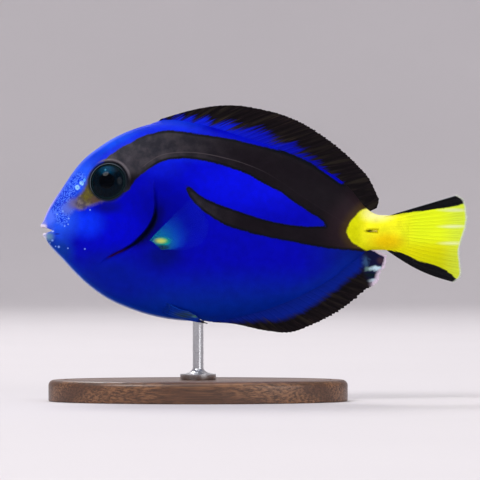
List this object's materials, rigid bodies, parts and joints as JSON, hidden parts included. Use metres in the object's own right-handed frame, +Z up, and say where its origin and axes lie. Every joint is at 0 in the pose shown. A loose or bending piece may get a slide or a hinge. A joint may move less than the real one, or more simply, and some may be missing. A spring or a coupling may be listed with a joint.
{
  "type": "regal blue tang",
  "caption": "Still life-size regal blue tang, deep oval reef fish with a raised fin along back and belly, swimming level on a plain display stand.",
  "frame": {"origin": "centre of the underside of the stand's base, on the axis of the rod", "axes": "+X from head to tail, +Z up, the fish's left side towards -Y"},
  "size_m": [0.1203, 0.046, 0.0831],
  "materials": {
    "blue_skin": "satin, smooth scaled skin, black band, blue oval",
    "yellow_skin": "satin, smooth skin and fin membrane, black edges",
    "dark_fin": "satin fin membrane, blue towards the body, black margin",
    "clear_fin": "clear blue membrane with a yellow base",
    "eye": "wet gloss",
    "spine": "smooth bone",
    "stand_wood": "oiled, close grain",
    "stand_steel": "brushed"
  },
  "bodies": {
    "root": {"head": "blue_skin", "torso": "blue_skin", "tail_stalk": "yellow_skin", "tail_fin": "yellow_skin", "dorsal_fin": "dark_fin", "anal_fin": "dark_fin", "pectoral_fin_left": "clear_fin", "pectoral_fin_right": "clear_fin", "pelvic_fin_left": "dark_fin", "pelvic_fin_right": "dark_fin", "eye_left": "eye", "eye_right": "eye", "tail_spine_left": "spine", "tail_spine_right": "spine", "stand_base": "stand_wood", "stand_rod": "stand_steel"}
  },
  "joints": []
}
